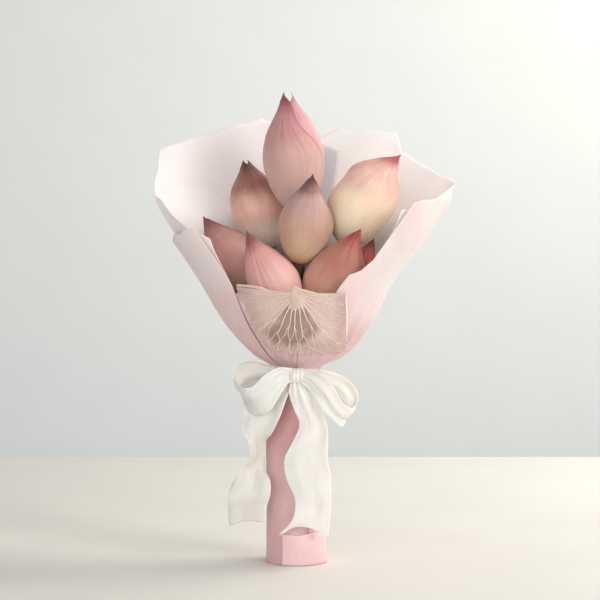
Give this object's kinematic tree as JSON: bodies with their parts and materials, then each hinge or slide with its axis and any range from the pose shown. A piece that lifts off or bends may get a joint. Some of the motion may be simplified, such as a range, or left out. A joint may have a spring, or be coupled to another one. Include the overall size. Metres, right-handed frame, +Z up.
{
  "type": "lotus bud bouquet",
  "caption": "Hand-tied bouquet of closed lotus buds in a flared paper wrap with a rolled paper handle, a skeleton leaf folded over the front and a ribbon bow.",
  "frame": {"origin": "below the middle of the whole bouquet, at the level of the cut stem ends and the foot of the paper handle", "axes": "+Z up along the handle, -Y towards the front with the bow and the folded leaf, +X to the right seen from the front"},
  "size_m": [0.337, 0.1994, 0.5173],
  "materials": {
    "bud_pale_pink": "matt petal, pale pink with a deeper tip",
    "bud_brown_mauve": "matt petal, brown mauve with a dark tip",
    "bud_beige_mauve": "matt petal, beige below and mauve above",
    "bud_cream": "matt petal, cream with pink edges",
    "bud_dusty_mauve": "matt petal, dusty mauve",
    "bud_rose": "matt petal, rose with lighter streaks",
    "bud_terracotta": "matt petal, brown pink with a red tip",
    "bud_dark_rose": "matt petal, dark rose",
    "stem": "smooth green stem",
    "tape": "stretched crepe tape",
    "pale_paper": "translucent white-pink wrapping tissue",
    "pink_paper": "soft pink wrapping paper",
    "skeleton_leaf": "cream leaf lace, matt",
    "ribbon": "white satin"
  },
  "bodies": {
    "root": {"lotus_bud_top": "bud_pale_pink", "stem_top": "stem", "lotus_bud_upper_left": "bud_brown_mauve", "stem_upper_left": "stem", "lotus_bud_centre": "bud_beige_mauve", "stem_centre": "stem", "lotus_bud_upper_right": "bud_cream", "stem_upper_right": "stem", "lotus_bud_lower_left": "bud_dusty_mauve", "stem_lower_left": "stem", "lotus_bud_front_left": "bud_rose", "stem_front_left": "stem", "lotus_bud_front_right": "bud_terracotta", "stem_front_right": "stem", "lotus_bud_lower_right": "bud_dark_rose", "stem_lower_right": "stem", "binding_tape": "tape", "handle_wrap": "pink_paper", "back_left_wrap": "pale_paper", "back_right_wrap": "pale_paper", "front_wrap": "pink_paper", "outer_wrap": "pink_paper", "skeleton_leaf": "skeleton_leaf", "ribbon": "ribbon"}
  },
  "joints": []
}
